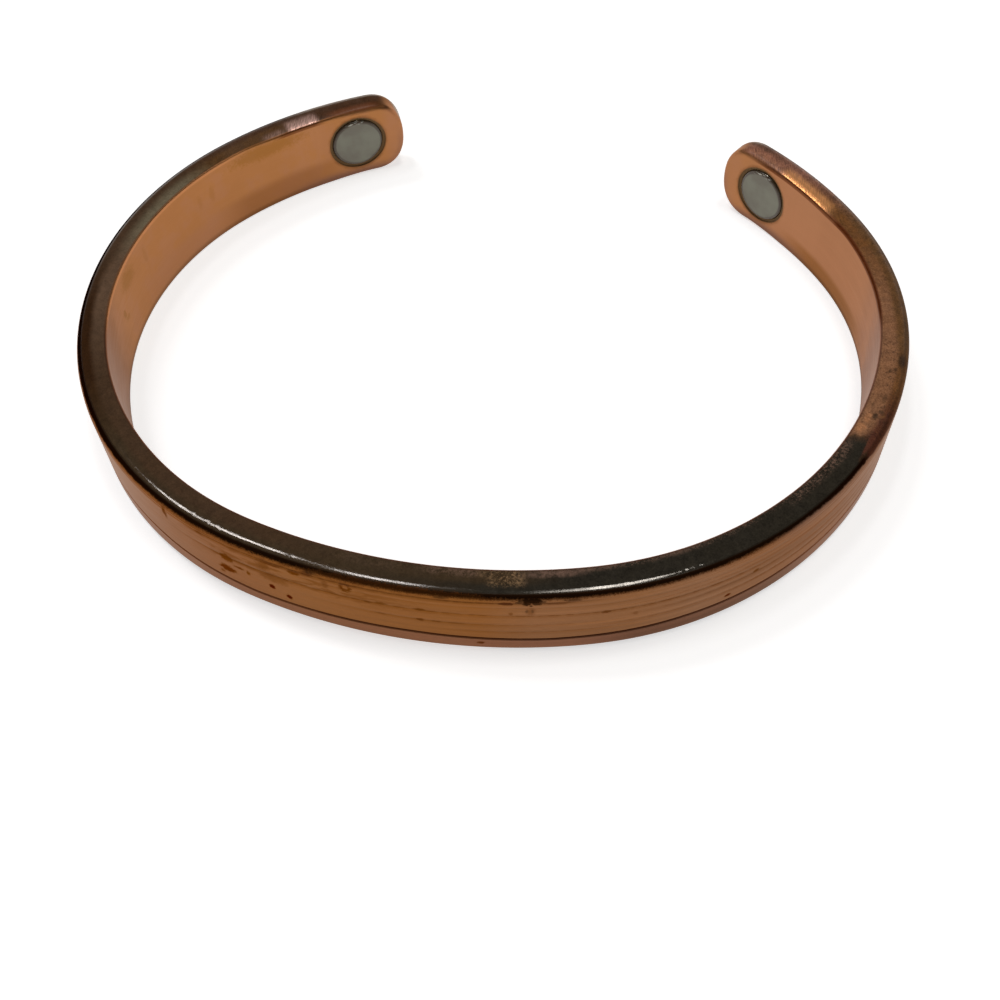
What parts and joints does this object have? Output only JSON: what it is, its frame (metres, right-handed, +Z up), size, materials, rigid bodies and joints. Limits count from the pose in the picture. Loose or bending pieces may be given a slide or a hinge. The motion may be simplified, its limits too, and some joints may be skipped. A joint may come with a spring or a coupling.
{
  "type": "copper cuff bangle",
  "caption": "Open oval cuff bangle of flat copper bar with round tongue ends, grooved outer face and a small magnet disc set inside each end, resting on its edge.",
  "frame": {"origin": "on the surface that the bangle rests on, under the middle of its box", "axes": "+Z up through the hollow, +Y towards the opening between the two ends, +X to the right seen from the front"},
  "size_m": [0.069, 0.056, 0.0075],
  "materials": {
    "copper": "satin copper, brown-black tarnish on the upper edge",
    "magnet_plating": "dull grey nickel plating"
  },
  "bodies": {
    "root": {"band": "copper", "magnet_left": "magnet_plating", "magnet_right": "magnet_plating"}
  },
  "joints": []
}
